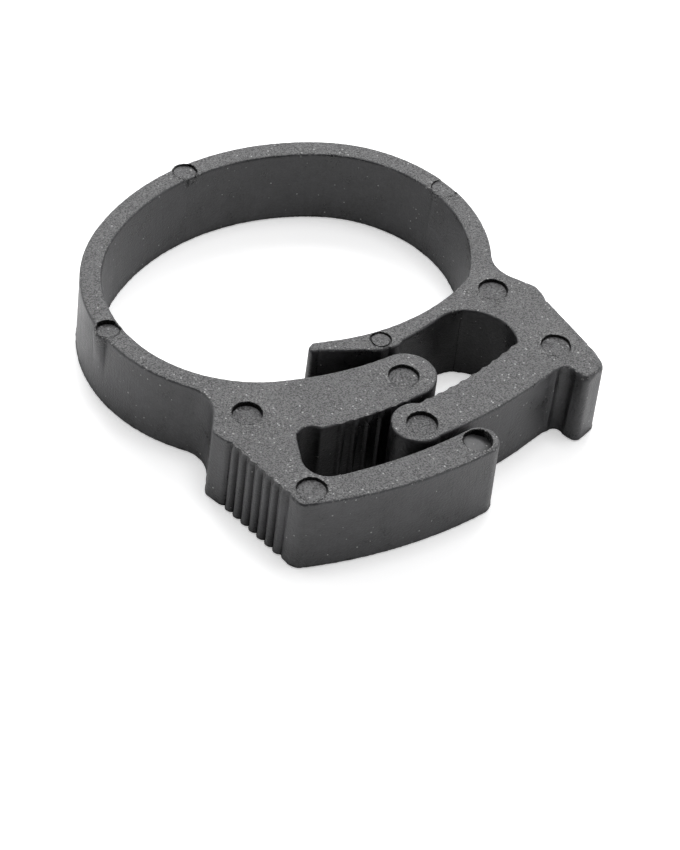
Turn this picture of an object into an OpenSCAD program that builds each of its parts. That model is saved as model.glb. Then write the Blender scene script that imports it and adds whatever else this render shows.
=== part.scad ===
// Ratcheting hose clip: one springy moulding, split along its bending lines into named pieces.
// Frame: origin = centre of the hose bore on the bottom face, +Z up, mouth of the clip toward -Y.
// Left jaw (-X) = ratchet tongue and outer arm, right jaw (+X) = inner finger and toothed arm.

/* [Hose bore] */
// Width of the open bore, mm
bore_width = 24.8; // [22:0.1:30]
// Radius of the two side arcs of the bore, mm
side_radius = 9.15; // [8:0.05:11]
// How far the back of the bore lies beyond the side radius, mm
back_rise = 0.95; // [0.6:0.05:1.6]

/* [Band] */
// Height of the whole clip, mm
height = 5.4; // [3:0.1:9]
// Radial thickness of the band, mm
wall = 1.25; // [1:0.05:1.6]
// Radius of the concave neck between band and head, mm
neck_radius = 2.3; // [1.6:0.1:3]

/* [Bending lines] */
// Radius of the rounded band end at the two back bending lines, mm
knuckle_radius = 1.0; // [0.8:0.05:1.3]
// Clearance at every bending line, mm
bend_gap = 0.05; // [0.03:0.01:0.1]
// Where the back of the hoop is split for the sideways twist, mm from the middle
twist_x = 0.6; // [0.4:0.1:3]

/* [Ejector marks] */
// Radius of the large round marks and of the bosses under them, mm
mark_radius = 1.0; // [0.7:0.05:1.1]
// Radius of the small mark on the finger, mm
small_mark_radius = 0.68; // [0.4:0.02:0.7]
// Depth of the marks, mm
mark_depth = 0.2; // [0.1:0.05:0.4]

/* [Ratchet] */
// Tooth pitch as an angle about the jaw centre, degrees
tooth_pitch = 1.75; // [1.4:0.05:2.2]
// Tooth depth, mm
tooth_depth = 0.3; // [0.2:0.05:0.4]
// Gap between the two rows of crests when the arm is relaxed, mm
crest_gap = 0.4; // [0.3:0.05:0.5]
// Radius of the rounded tongue tip, mm
tip_radius = 1.85; // [1.6:0.05:2]
// Radial width of the toothed arm, mm
arm_width = 3.1; // [2.8:0.1:3.4]
// Gap between toothed arm and outer arm, mm
arm_gap = 0.4; // [0.3:0.05:0.6]
// Thickness of the outer arm at the middle of the clip, mm
outer_thickness = 2.0; // [1.6:0.1:2.6]

/* [Grip pads] */
// Number of ribs on each pad
rib_count = 8; // [5:1:9]
// Distance between ribs, mm
rib_pitch = 0.72; // [0.6:0.02:0.8]
// Depth of the scallops between ribs, mm
rib_depth = 0.22; // [0.1:0.02:0.3]

/* [Hidden] */
$fn = 96;
NYLON = [0.16, 0.16, 0.17];
PAD = [0.12, 0.12, 0.13];

// ---- bore and band
hw = bore_width / 2;
cx = hw - side_radius;
SL = [-cx, 0];
SR = [cx, 0];
back_y = side_radius + back_rise;
back_r = (cx * cx + back_y * back_y - side_radius * side_radius) / (2 * back_rise);
CB = [0, back_y - back_r];
tangent_a = atan2(cx, -CB[1]);
a1 = 90 + tangent_a;
mid = side_radius + wall / 2;
H1 = pol(SL, mid, a1);
a2 = 177.7;
H2 = pol(SL, mid + 0.08, a2);
cut_a = 213;
neck_a = 215.6;
NC = pol(SL, side_radius + wall + neck_radius, neck_a);
NT = pol(SL, side_radius + wall, neck_a);
band_mark = [-0.65, CB[1] + back_r + wall / 2 + 0.03];

// ---- centre about which the two jaws slide past each other
pole_y = 2 * H1[1] - H2[1] + 0.13;
P = [0, pole_y];
front_r = pole_y + side_radius;

// ---- tongue
tongue_a = 245.4;
tongue_in = side_radius + 12.45;
TI = pol(SL, side_radius - tongue_in, tongue_a);
tip_x = 0.28;
TIP = [tip_x, TI[1] - sqrt(pow(tongue_in + tip_radius - 0.01, 2) - pow(tip_x - TI[0], 2))];
// point where the rounded tip runs into the bore side of the tongue
TT = TI + tongue_in * (TIP - TI) / norm(TIP - TI);
crest = norm(TIP - P) + tip_radius + 0.2;
root = crest - tooth_depth;

// ---- toothed arm, outer arm, finger, as radii about P
arm_in = crest + crest_gap;
arm_out = arm_in + arm_width;
arm_mid = (arm_in + arm_out) / 2;
outer_in = arm_out + arm_gap;
C2 = [0, pole_y - 6.7];
outer_r = outer_in + outer_thickness - 6.7;
finger_out = front_r + 0.4;
CF = [cx + 0.02, 6.35];
finger_in = side_radius + 5.42;
NOSE = pol(P, arm_mid, -90 + asin(-1.85 / arm_mid));
arm_a = asin((hw - 5.8) / arm_mid);
FP = pol(P, arm_mid, -90 + arm_a);
arm_knuckle = arm_width / 2 + 0.1;
slot_r = 2.65;
slot_d = (finger_out + arm_in) / 2 + 0.2;
slot_a = asin((hw - 6.7) / slot_d);
SC = pol(P, slot_d, -90 + slot_a);
finger_x = hw - 7.2;
finger_top = CF[1] - sqrt(pow(finger_in, 2) - pow(finger_x - CF[0], 2));
FF = [finger_x, finger_top - 0.41];
finger_knuckle = 0.6;

// ---- left slot between tongue and outer arm
hump_r = 1.0;
hump_a = -asin((hw - 4.45) / arm_in);
HC = pol(P, arm_in, -90 + hump_a);
low_r = 1.55;
low_a = -asin((hw - 4.2) / (outer_in - low_r));
LC = pol(P, outer_in - low_r, -90 + low_a);
tongue_cut = hump_a - 1.44;
outer_cut = low_a + 0.6;
LN = atan2(LC[1] - HC[1], LC[0] - HC[0]) - acos((hump_r - low_r) / norm(LC - HC));

// ---- heads, measured from the corners where the bore sides would meet the mouth line
KL = [-hw, -side_radius];
KR = [hw, -side_radius];
pad_top = -2.0;
pad_len = rib_count * rib_pitch;
pad_slope = 0.1245;
pad_deep = 0.7;
QL = KL + [-0.33, -0.91];
QR = KR + [-0.23, -0.84];
lip_y = -7.55;
scoop_x = 3.68;
SCOOP = KR + [-scoop_x, -8.15];

// point at radius r and angle a about c
function pol(c, r, a) = [c[0] + r * cos(a), c[1] + r * sin(a)];
// mirror a point left to right
function flip(p) = [-p[0], p[1]];
// where the tangent from the point q touches the circle (c, r)
function touch(c, r, q, s) = pol(c, r, atan2(q[1] - c[1], q[0] - c[0]) + s * acos(r / norm(q - c)));
// point on the left pad line, d below the heel corner and inward by w
function padl(d, w) = KL + [0.02 - pad_slope * (d + 2.2) + w, d];
// point on the right pad line
function padr(d, w) = KR + [-0.5 + 0.1011 * (d + 2.12) - w, d];

module disc(c, r) {
    translate(c) circle(r);
}

module wedge(c, far, b0, b1) {
    polygon([c, pol(c, far, b0), pol(c, far, (2 * b0 + b1) / 3),
             pol(c, far, (b0 + 2 * b1) / 3), pol(c, far, b1)]);
}

module ring(c, ri, ro, b0, b1) {
    intersection() {
        difference() {
            disc(c, ro);
            disc(c, ri);
        }
        wedge(c, 1.6 * ro, b0, b1);
    }
}

// round mark sunk into the top face
module mark(c, r, d) {
    translate([c[0], c[1], height - d]) cylinder(r = r, h = d + 1);
}

// ---- hoop, back
module back_arc() {
    ring(CB, back_r, back_r + wall, 60, a1);
}

module band_back_left() {
    color(NYLON) difference() {
        linear_extrude(height) difference() {
            union() {
                intersection() {
                    back_arc();
                    translate([-50 + twist_x, 0]) square([50, 50]);
                }
                difference() {
                    disc(band_mark, mark_radius);
                    disc(CB, back_r);
                }
            }
            disc(H1, knuckle_radius + bend_gap);
        }
        mark(band_mark, mark_radius, mark_depth);
    }
}

module band_back_right() {
    color(NYLON) linear_extrude(height) difference() {
        intersection() {
            mirror([1, 0]) back_arc();
            translate([twist_x + bend_gap, 0]) square([50, 50]);
        }
        disc(flip(H1), knuckle_radius + bend_gap);
    }
}

// ---- hoop, sides
module side_2d() {
    difference() {
        union() {
            ring(SL, side_radius, side_radius + wall, a1, a2);
            intersection() {
                disc(H1, knuckle_radius);
                ring(SL, side_radius, side_radius + wall, a1 - 9, a1 + 9);
            }
        }
        disc(H2, mark_radius + bend_gap);
    }
}

module left_side_band() {
    color(NYLON) linear_extrude(height) side_2d();
}

module right_side_band() {
    color(NYLON) linear_extrude(height) mirror([1, 0]) side_2d();
}

// ---- hoop, front ends with the round bosses
module front_2d() {
    difference() {
        union() {
            ring(SL, side_radius, side_radius + wall, a2, cut_a);
            disc(H2, mark_radius);
        }
        disc(SL, side_radius);
    }
}

// the right boss is flush outside and stands slightly into the bore
module right_front_2d() {
    mirror([1, 0]) union() {
        ring(SL, side_radius, side_radius + wall, a2, cut_a);
        intersection() {
            disc(H2, mark_radius);
            ring(SL, side_radius - 0.15, side_radius + wall, a2 - 30, a2 + 30);
        }
    }
}

module left_front_band() {
    color(NYLON) difference() {
        linear_extrude(height) front_2d();
        mark(H2, mark_radius, mark_depth);
    }
}

module right_front_band() {
    color(NYLON) difference() {
        linear_extrude(height) right_front_2d();
        mark(flip(H2), mark_radius, mark_depth);
    }
}

// ---- left jaw
module left_slot() {
    disc(HC, hump_r);
    disc(LC, low_r);
    polygon([HC, pol(HC, hump_r, LN), pol(LC, low_r, LN), LC]);
}

module left_head() {
    color(NYLON) difference() {
        linear_extrude(height) difference() {
            intersection() {
                polygon([pol(SL, side_radius - 1.2, cut_a), pol(SL, side_radius + wall, cut_a), NT, NC,
                         touch(NC, neck_radius, QL, 1), QL, padl(pad_top, 0), padl(pad_top, pad_deep),
                         padl(pad_top - pad_len, pad_deep), padl(pad_top - pad_len, 0),
                         KL + [0.55, -8.0], KL + [1.0, -8.73], KL + [3.5, -11],
                         pol(P, outer_in + 4, -90 + outer_cut), pol(P, outer_in - 0.8, -90 + outer_cut),
                         pol(P, outer_in - 2.2, -90 + tongue_cut), pol(P, front_r - 1.5, -90 + tongue_cut)]);
                disc(C2, outer_r);
            }
            disc(SL, side_radius);
            disc(NC, neck_radius);
            left_slot();
        }
        mark(KL + [2.2, -0.65], mark_radius, mark_depth);
        mark(KL + [1.87, -7.75], mark_radius, mark_depth);
    }
}

// ribbed strip; the scallops between the ribs are round
module pad_2d() {
    scallop = (pow(rib_pitch / 2, 2) + rib_depth * rib_depth) / (2 * rib_depth);
    difference() {
        polygon([padl(pad_top, 0), padl(pad_top, pad_deep),
                 padl(pad_top - pad_len, pad_deep), padl(pad_top - pad_len, 0)]);
        for (i = [0 : rib_count - 1])
            disc(padl(pad_top - (i + 0.5) * rib_pitch, rib_depth - scallop), scallop);
    }
}

module left_grip() {
    color(PAD) linear_extrude(height) pad_2d();
}

// tooth faces point left; the sloping side leads when the clip closes
module tongue_teeth() {
    first = hump_a + asin((hump_r + 0.2) / crest);
    count = floor((-first - 0.9) / tooth_pitch);
    for (i = [-count : -1])
        polygon([pol(P, root - 0.2, -90 - 0.9 + i * tooth_pitch), pol(P, crest, -90 - 0.9 + i * tooth_pitch),
                 pol(P, root, -90 - 0.9 + (i + 1) * tooth_pitch), pol(P, root - 0.2, -90 - 0.9 + (i + 1) * tooth_pitch)]);
}

module ratchet_tongue() {
    color(NYLON) difference() {
        linear_extrude(height) difference() {
            union() {
                ring(P, front_r - 2, root, -90 + tongue_cut, -90 + atan2(TT[0], P[1] - TT[1]));
                disc(TIP, tip_radius);
                tongue_teeth();
            }
            disc(SL, side_radius);
            disc(TI, tongue_in);
            disc(HC, hump_r);
        }
        mark(TIP + [-0.28, -0.1], mark_radius, mark_depth);
    }
}

module outer_arm() {
    color(NYLON) difference() {
        linear_extrude(height) union() {
            difference() {
                intersection() {
                    wedge(P, 60, -90 + outer_cut, -90 + 0.6);
                    disc(C2, outer_r);
                }
                disc(P, outer_in);
                left_slot();
            }
            disc(pol(P, outer_in + outer_thickness / 2, -90 + 0.6), outer_thickness / 2);
        }
        mark(pol(P, outer_in + outer_thickness / 2, -90 + 0.45), mark_radius * 0.85, mark_depth * 1.5);
    }
}

// ---- right jaw
module right_slot() {
    disc(SC, slot_r);
    ring(P, finger_out, arm_in, -90 - 12, -90 + slot_a);
}

module right_bore() {
    intersection() {
        disc(SR, side_radius);
        disc(CF, finger_in);
    }
}

module right_head() {
    color(NYLON) difference() {
        linear_extrude(height) difference() {
            polygon([pol(SR, side_radius - 1.2, 180 - cut_a), pol(SR, side_radius + wall, 180 - cut_a), flip(NT), flip(NC),
                     touch(flip(NC), neck_radius, QR, -1), QR, KR + [-0.28, -1.49],
                     padr(pad_top - 0.12, 0), padr(pad_top - 0.12, pad_deep),
                     padr(lip_y, pad_deep), KR + [-scoop_x, lip_y],
                     pol(P, arm_out + 0.05, -90 + asin((hw - scoop_x - 0.82) / arm_out)),
                     pol(P, arm_out + 0.05, -90 + arm_a + 1.6),
                     pol(P, arm_out, -90 + arm_a), pol(P, arm_in - 1, -90 + arm_a),
                     [finger_x + 0.2, FF[1] - 1.2], [finger_x + 0.2, FF[1] + 1.2]]);
            right_bore();
            right_slot();
            disc(flip(NC), neck_radius);
            disc(FP, arm_knuckle + bend_gap);
            disc(FF, finger_knuckle + bend_gap);
        }
        mark(KR + [-2.65, 0.35], mark_radius, mark_depth);
        mark(KR + [-2.55, -5.85], mark_radius, mark_depth);
    }
}

module right_grip() {
    scallop = (pow(rib_pitch / 2, 2) + rib_depth * rib_depth) / (2 * rib_depth);
    color(PAD) linear_extrude(height) difference() {
        polygon([padr(pad_top - 0.12, 0), padr(pad_top - 0.12, pad_deep), padr(lip_y, pad_deep), padr(lip_y, 0)]);
        for (i = [0 : rib_count - 1])
            if (pad_top - 0.12 - (i + 1) * rib_pitch > lip_y)
                disc(padr(pad_top - 0.12 - (i + 0.5) * rib_pitch, rib_depth - scallop), scallop);
    }
}

module stop_lip() {
    color(NYLON) linear_extrude(height) difference() {
        polygon([SCOOP + [0, 8.15 + lip_y], padr(lip_y, 0), KR + [-1.03, -8.21],
                 KR + [-1.12, -8.62], KR + [-2.73, -9.05], SCOOP + [0.6, -0.1], SCOOP]);
        disc(SCOOP, 0.63);
    }
}

// ---- toothed arm: steep tooth faces point right, so they catch the tongue when the clip tries to open
module arm_notches() {
    shift = 0.24;
    from = floor(-7.5 / tooth_pitch);
    to = floor((arm_a - 2.6 + 0.9) / tooth_pitch);
    for (i = [from : to])
        polygon([pol(P, arm_in - 0.6, -90 - 0.9 - shift + i * tooth_pitch),
                 pol(P, arm_in + tooth_depth, -90 - 0.9 - shift + i * tooth_pitch),
                 pol(P, arm_in, -90 - 0.9 - shift + (i + 1) * tooth_pitch),
                 pol(P, arm_in - 0.6, -90 - 0.9 - shift + (i + 1) * tooth_pitch)]);
}

module toothed_arm() {
    color(NYLON) difference() {
        linear_extrude(height) difference() {
            union() {
                ring(P, arm_in, arm_out, -90 + asin(-1.85 / arm_mid), -90 + arm_a);
                disc(NOSE, arm_width / 2);
                intersection() {
                    disc(FP, arm_knuckle);
                    ring(P, arm_in, arm_out, -90, -90 + arm_a + 8);
                }
            }
            disc(SC, slot_r);
            arm_notches();
        }
        mark(NOSE + [0.2, 0.05], mark_radius, mark_depth);
    }
}

// ---- inner finger: bridges the gap in the hose bore under the tongue
module finger_strip() {
    difference() {
        disc(P, finger_out);
        disc(CF, finger_in);
        disc(SC, slot_r);
    }
}

module inner_finger() {
    color(NYLON) difference() {
        linear_extrude(height) union() {
            intersection() {
                finger_strip();
                polygon([[finger_x, FF[1] + 1.6], [finger_x, FF[1] - 1.4], [0.2, -side_radius - 0.45],
                         [-3.45, -side_radius + 1.6], [-3.7, -side_radius + 1.72], [-3.74, -side_radius + 1.95],
                         [-2.95, -side_radius + 2.4], [-2.0, -side_radius + 2.6]]);
            }
            intersection() {
                finger_strip();
                disc(FF, finger_knuckle);
            }
        }
        mark([0.75, -side_radius + 0.43], small_mark_radius, mark_depth);
    }
}

band_back_left();
band_back_right();
left_side_band();
right_side_band();
left_front_band();
right_front_band();
left_head();
left_grip();
ratchet_tongue();
outer_arm();
right_head();
right_grip();
stop_lip();
toothed_arm();
inner_finger();
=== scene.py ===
"""Ratcheting hose clip in black nylon, dressed over its CAD solids.

The clip is one springy moulding. Each piece here is one length of it: its outline is laid
out flat and drawn up into a wall with draft, a thin parting flash and a rounded top edge.
All sizes are in millimetres until the mesh is made, which is in metres.
"""

import math
import random

import bpy
import numpy as np
from bpy.props import FloatProperty, FloatVectorProperty, IntProperty, PointerProperty
from mathutils import Matrix, Vector
from mathutils.geometry import delaunay_2d_cdt


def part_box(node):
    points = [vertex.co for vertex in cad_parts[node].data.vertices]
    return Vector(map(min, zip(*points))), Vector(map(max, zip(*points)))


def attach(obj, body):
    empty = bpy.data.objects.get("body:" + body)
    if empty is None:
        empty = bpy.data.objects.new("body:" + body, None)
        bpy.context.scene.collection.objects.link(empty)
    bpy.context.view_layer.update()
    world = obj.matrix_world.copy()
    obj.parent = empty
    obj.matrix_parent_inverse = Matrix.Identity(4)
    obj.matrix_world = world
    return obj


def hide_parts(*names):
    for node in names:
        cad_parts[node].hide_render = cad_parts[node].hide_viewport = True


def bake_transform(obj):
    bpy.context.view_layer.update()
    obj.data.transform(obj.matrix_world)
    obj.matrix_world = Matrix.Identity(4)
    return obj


bl_info = {
    "name": "Ratcheting hose clip",
    "version": (1, 0, 0),
    "blender": (4, 5, 0),
    "location": "3D View > Sidebar > Hose clip",
    "description": "Builds a black nylon ratcheting hose clip over its CAD frame",
    "category": "Object",
}

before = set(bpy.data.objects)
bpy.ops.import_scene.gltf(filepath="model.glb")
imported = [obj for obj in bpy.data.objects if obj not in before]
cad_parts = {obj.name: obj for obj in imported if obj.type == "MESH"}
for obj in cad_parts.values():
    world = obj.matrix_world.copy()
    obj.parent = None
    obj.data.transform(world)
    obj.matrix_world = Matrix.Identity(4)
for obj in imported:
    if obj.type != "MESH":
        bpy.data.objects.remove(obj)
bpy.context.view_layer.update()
CLIP_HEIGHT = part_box("left_head")[1].z
MM = 0.001


# ---------------------------------------------------------------- sizes and colours

def length(name, description, default, low, high):
    """A length property, kept in metres."""
    return FloatProperty(name=name, description=description, default=default, min=low,
                         max=high, unit="LENGTH", precision=5, step=0.01)


class ClipSizes(bpy.types.PropertyGroup):
    """Sizes of the moulding."""

    bore_width: length("Bore width", "Width of the open hose bore", 0.0248, 0.022, 0.030)
    side_radius: length("Side radius", "Radius of the two side arcs of the bore", 0.00915, 0.008, 0.011)
    back_rise: length("Back rise", "How far the back of the bore lies beyond the side radius", 0.00095, 0.0006, 0.0016)
    height: length("Height", "Height of the whole clip", CLIP_HEIGHT, 0.003, 0.009)
    wall: length("Band thickness", "Radial thickness of the band", 0.00125, 0.001, 0.0016)
    neck_radius: length("Neck radius", "Radius of the neck between band and head", 0.0023, 0.0016, 0.003)
    mark_radius: length("Mark radius", "Radius of the large ejector marks", 0.00095, 0.0007, 0.0011)
    small_mark_radius: length("Small mark radius", "Radius of the mark on the finger", 0.00068, 0.0004, 0.0008)
    tooth_depth: length("Tooth depth", "Depth of the ratchet teeth", 0.0002, 0.00012, 0.0003)
    crest_gap: length("Crest gap", "Gap between the two rows of crests", 0.0004, 0.0003, 0.0005)
    tip_radius: length("Tongue tip radius", "Radius of the rounded tongue tip", 0.00185, 0.0016, 0.002)
    arm_width: length("Toothed arm width", "Width of the toothed arm", 0.0029, 0.0027, 0.0034)
    arm_gap: length("Arm gap", "Gap between toothed arm and outer arm", 0.0004, 0.0003, 0.0006)
    outer_thickness: length("Outer arm thickness", "Thickness of the outer arm at the middle", 0.00215, 0.0016, 0.0026)
    rib_pitch: length("Rib pitch", "Distance between the grip ribs", 0.00072, 0.0006, 0.0008)
    rib_depth: length("Rib depth", "Depth of the hollows between the ribs", 0.00022, 0.0001, 0.0003)
    edge_round: length("Edge rounding", "Radius of the top edges", 0.00015, 0.00004, 0.00025)
    swell: length("Swell", "How far the walls stand outside the lines of the rims", 0.00007, 0.0, 0.00015)
    draft: length("Draft", "How much wider each wall stands at the parting face", 0.0001, 0.0, 0.0002)
    flash: length("Flash", "How far the parting flash stands out", 0.00004, 0.0, 0.0001)
    tooth_pitch: FloatProperty(name="Tooth pitch", description="Angle between teeth about the jaw centre",
                               default=math.radians(1.75), min=math.radians(1.4), max=math.radians(2.2),
                               subtype="ANGLE")
    rib_count: IntProperty(name="Ribs", description="Number of hollows in the left grip", default=8, min=5, max=9)


class ClipFinish(bpy.types.PropertyGroup):
    """Colours and grain of the nylon and of the stage."""

    nylon_wall: FloatVectorProperty(name="Wall colour", description="Smooth nylon of the side walls",
                                    default=(0.034, 0.034, 0.036), size=3, min=0, max=1, subtype="COLOR")
    # the top colour is paler than the walls' partly for the grained finish and partly as painted sheen of the lamps on
    # the tops
    nylon_top: FloatVectorProperty(name="Top colour", description="Spark grained nylon of the top face",
                                   default=(0.078, 0.078, 0.080), size=3, min=0, max=1, subtype="COLOR")
    dust: FloatVectorProperty(name="Dust colour", description="Specks of dust on the nylon",
                              default=(0.50, 0.50, 0.49), size=3, min=0, max=1, subtype="COLOR")
    grain_size: length("Grain size", "Typical width of one grain on the top face", 0.00011, 0.00005, 0.0004)
    # the next four set the painted shade in crevices and in the corners of the walls
    crevice_reach: length("Crevice reach", "How wide a gap is shaded as a crevice", 0.0065, 0.0002, 0.02)
    corner_reach: length("Corner reach", "How near a wall shades a corner", 0.0006, 0.0001, 0.002)
    corner_shade: FloatProperty(name="Corner shade", description="Share of the colour left in a corner of the walls",
                                default=0.4, min=0, max=1)
    crevice_shade: FloatProperty(name="Crevice shade", description="Share of the colour left deep in a crevice",
                                 default=0.15, min=0, max=1)
    floor: FloatVectorProperty(name="Floor colour", description="Plain pale floor",
                               default=(0.88, 0.88, 0.885), size=3, min=0, max=1, subtype="COLOR")


# ---------------------------------------------------------------- flat geometry

def at(c, r, a):
    """Point at radius r and angle a in degrees about c."""
    return np.array([c[0] + r * math.cos(math.radians(a)), c[1] + r * math.sin(math.radians(a))])


def flip(p):
    return np.array([-p[0], p[1]])


def touch(c, r, q, side):
    """Where the tangent from q touches the circle (c, r)."""
    a = math.degrees(math.atan2(q[1] - c[1], q[0] - c[0]))
    return at(c, r, a + side * math.degrees(math.acos(r / math.dist(q, c))))


def disc(c, r):
    """A circle as points, fine enough that its facets don't show."""
    n = int(math.ceil(2 * math.pi * r / min(0.2, 0.11 * r)))
    return [at(c, r, 360 * i / n) for i in range(n)]


def wedge(c, far, a, b):
    return [np.array(c, float)] + [at(c, far, a + (b - a) * i / 6) for i in range(7)]


def block(x0, y0, x1, y1):
    return [np.array(p, float) for p in ((x0, y0), (x1, y0), (x1, y1), (x0, y1))]


def area(loop):
    p = np.array(loop)
    q = np.roll(p, -1, 0)
    return 0.5 * float(np.sum(p[:, 0] * q[:, 1] - q[:, 0] * p[:, 1]))


def outline(shapes, keep):
    """Outer loop of the area where keep(flags) is true, flags saying which shapes cover it."""
    names, points, faces = list(shapes), [], []
    for name in names:
        loop = list(shapes[name])
        if area(loop) < 0:
            loop.reverse()
        faces.append(list(range(len(points), len(points) + len(loop))))
        points += [Vector((float(p[0]), float(p[1]))) for p in loop]
    verts, _, tris, _, _, sources = delaunay_2d_cdt(points, [], faces, 0, 1e-5)
    kept = [t for t, src in zip(tris, sources) if keep({n: i in src for i, n in enumerate(names)})]
    half = {(t[i], t[(i + 1) % 3]) for t in kept for i in range(3)}
    after = {}
    for a, b in half:
        if (b, a) not in half:
            after.setdefault(a, []).append(b)
    loops = []
    while after:
        start = next(iter(after))
        loop, here = [], start
        while here in after:
            loop.append(here)
            nexts = after[here]
            there = nexts.pop()
            if not nexts:
                del after[here]
            here = there
        loops.append([np.array(verts[i][:]) for i in loop])
    loops.sort(key=lambda one: -abs(area(one)))
    if len(loops) > 1 and abs(area(loops[1])) > 0.02:
        raise RuntimeError("an outline came out in more than one loop")
    return loops[0]


def on_cut(p, cuts):
    """True if p lies on one of the cut lines, each given by two points."""
    for a, b in cuts:
        d = np.array(b) - np.array(a)
        if abs(d[0] * (p[1] - a[1]) - d[1] * (p[0] - a[0])) / np.linalg.norm(d) < 2e-3:
            return True
    return False


def thin_out(loop, cuts, least):
    """Drops points that stand closer together than least."""
    out = []
    for p in loop:
        if out and math.dist(p, out[-1]) < least:
            if on_cut(p, cuts) and not on_cut(out[-1], cuts):
                out[-1] = p
            continue
        out.append(p)
    if len(out) > 3 and math.dist(out[0], out[-1]) < least:
        out.pop()
    return out


def soften(loop, cuts, convex, concave, rounds=()):
    """Rounds the corners of the loop and shares long edges out, leaving the cut faces sharp.

    rounds gives single corners a radius of their own: (point, radius, ...).
    """
    p = thin_out(loop, cuts, 0.02)
    n = len(p)
    edge = [math.dist(p[i], p[(i + 1) % n]) for i in range(n)]
    s = np.concatenate([[0], np.cumsum(edge)])
    total = s[-1]
    corners = []
    for i in range(n):
        a, b = p[i] - p[i - 1], p[(i + 1) % n] - p[i]
        turn = math.atan2(a[0] * b[1] - a[1] * b[0], a @ b)
        if abs(turn) > math.radians(16):
            corners.append((i, turn, on_cut(p[i], cuts)))
    cut_span = {}
    for k, (i, turn, cut) in enumerate(corners):
        back = (s[i] - s[corners[k - 1][0]]) % total or total
        ahead = (s[corners[(k + 1) % len(corners)][0]] - s[i]) % total or total
        if not cut:
            r = convex if turn > 0 else concave
            for place in rounds:
                if math.dist(p[i], place[0]) < 0.35:
                    r = place[1]
            cut_span[i] = min(r * math.tan(abs(turn) / 2) + 0.01, 0.42 * back, 0.42 * ahead, 0.5)

    def along(d):
        d %= total
        j = min(int(np.searchsorted(s, d, side="right")) - 1, n - 1)
        t = (d - s[j]) / max(edge[j], 1e-9)
        return p[j] * (1 - t) + p[(j + 1) % n] * t

    out = []
    for i in range(n):
        if i in cut_span:
            t = cut_span[i]
            a, b = along(s[i] - t), along(s[i] + t)
            for u in (0, 0.2, 0.4, 0.6, 0.8, 1):
                out.append(a * (1 - u) ** 2 + 2 * p[i] * u * (1 - u) + b * u * u)
        elif not any(min((s[i] - s[c]) % total, (s[c] - s[i]) % total) < t for c, t in cut_span.items()):
            out.append(p[i])
    out = thin_out(out, cuts, 0.012)
    full = []
    for i, a in enumerate(out):
        b = out[(i + 1) % len(out)]
        parts = max(1, int(math.ceil(math.dist(a, b) / 0.3)))
        full += [a + (b - a) * k / parts for k in range(parts)]
    return full


def outsets(loop, cuts):
    """For each point, how it moves when every wall moves out by one and the cut faces stay."""
    p = np.array(loop)
    d = np.roll(p, -1, 0) - p
    normal = np.stack([d[:, 1], -d[:, 0]], 1) / np.linalg.norm(d, axis=1)[:, None]
    held = [on_cut(p[i], cuts) and on_cut(p[(i + 1) % len(p)], cuts) for i in range(len(p))]
    out = np.zeros_like(p)
    for i in range(len(p)):
        n1, n2 = normal[i - 1], normal[i]
        d1, d2 = 1.0 - held[i - 1], 1.0 - held[i]
        det = n1[0] * n2[1] - n1[1] * n2[0]
        if d1 == d2:
            u = d1 * (n1 + n2) / max(1 + n1 @ n2, 0.5)
        elif abs(det) > 0.2:
            u = np.array([d1 * n2[1] - d2 * n1[1], d2 * n1[0] - d1 * n2[0]]) / det
        else:
            u = (n1 * d1 + n2 * d2) / 2
        out[i] = u
    return out


def room(p, out, amount, cuts):
    """For each point, how much of the outset fits before edges next to it turn over; all of it at the cuts."""
    base = np.roll(p, -1, 0) - p
    size = np.sum(base * base, axis=1)
    share = np.ones(len(p))
    for _ in range(80):
        q = p + out * (amount * share)[:, None]
        bad = np.sum((np.roll(q, -1, 0) - q) * base, axis=1) < 0.2 * size
        if not bad.any():
            break
        share[bad | np.roll(bad, 1)] *= 0.8
        share = np.minimum(share, 0.35 + 0.65 * (np.roll(share, 1) + np.roll(share, -1)) / 2)
    share[[on_cut(q, cuts) for q in p]] = 1.0
    return share


def inside(points, loop):
    """For each point, whether it lies inside the loop and its distance from it."""
    q, a = np.array(points), np.array(loop)
    b = np.roll(a, -1, 0)
    hit = np.zeros(len(q), bool)
    near = np.full(len(q), 1e9)
    for (ax, ay), (bx, by) in zip(a, b):
        crosses = (ay > q[:, 1]) != (by > q[:, 1])
        if by != ay:
            hit ^= crosses & (q[:, 0] < (bx - ax) * (q[:, 1] - ay) / (by - ay) + ax)
        d = np.array([bx - ax, by - ay])
        t = np.clip(((q - (ax, ay)) @ d) / max(d @ d, 1e-12), 0, 1)
        near = np.minimum(near, np.linalg.norm(q - (ax, ay) - t[:, None] * d, axis=1))
    return hit, near


# ---------------------------------------------------------------- drawing a wall up

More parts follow.
